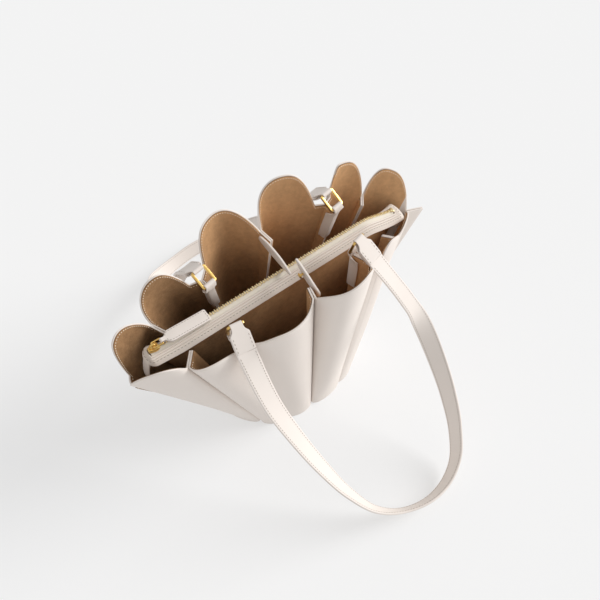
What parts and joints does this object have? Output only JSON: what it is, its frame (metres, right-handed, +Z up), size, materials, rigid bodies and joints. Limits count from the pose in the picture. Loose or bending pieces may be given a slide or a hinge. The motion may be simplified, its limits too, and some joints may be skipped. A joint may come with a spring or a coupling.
{
  "type": "tote bag",
  "caption": "Shell-shaped leather tote with scalloped, pleated petals, suede lining, a zipped middle pocket, gold rings and two shoulder straps.",
  "frame": {"origin": "under the middle of the base, on the floor", "axes": "+Z up, +X along the zip towards the end away from the slider, -Y towards the front strap"},
  "size_m": [0.4113, 0.4946, 0.2925],
  "materials": {
    "leather": "smooth cream leather",
    "suede": "brown suede",
    "tape": "woven cream zip tape",
    "gold": "polished gold-coloured metal"
  },
  "bodies": {
    "bag": {"base": "leather", "base_lining": "suede", "divider_pocket": "suede", "end_tab_left": "leather", "end_tab_right": "leather", "lining_back_1": "suede", "lining_back_2": "suede", "lining_back_3": "suede", "lining_back_4": "suede", "lining_back_5": "suede", "lining_back_6": "suede", "lining_front_1": "suede", "lining_front_2": "suede", "lining_front_3": "suede", "lining_front_4": "suede", "lining_front_5": "suede", "lining_front_6": "suede", "petal_back_1": "leather", "petal_back_2": "leather", "petal_back_3": "leather", "petal_back_4": "leather", "petal_back_5": "leather", "petal_back_6": "leather", "petal_front_1": "leather", "petal_front_2": "leather", "petal_front_3": "leather", "petal_front_4": "leather", "petal_front_5": "leather", "petal_front_6": "leather", "ring_back_left": "gold", "ring_back_right": "gold", "ring_front_left": "gold", "ring_front_right": "gold", "ring_tab_back_left": "leather", "ring_tab_back_right": "leather", "ring_tab_front_left": "leather", "ring_tab_front_right": "leather", "snap_stud": "gold", "snap_tab_back": "leather", "snap_tab_front": "leather", "strap_back": "leather", "strap_end_back_left": "leather", "strap_end_back_right": "leather", "strap_end_front_left": "leather", "strap_end_front_right": "leather", "strap_front": "leather", "zip_band": "leather", "zip_slider": "gold", "zip_tape": "tape", "zip_teeth": "gold"},
    "pull": {"pull_link": "gold", "zip_pull": "leather"}
  },
  "joints": [
    {"name": "pull_swing", "type": "hinge", "parent": "bag", "child": "pull", "pos_m": [-0.165, 0.002, 0.234], "axis": [0, -1, 0], "range_deg": [0, 110]}
  ]
}
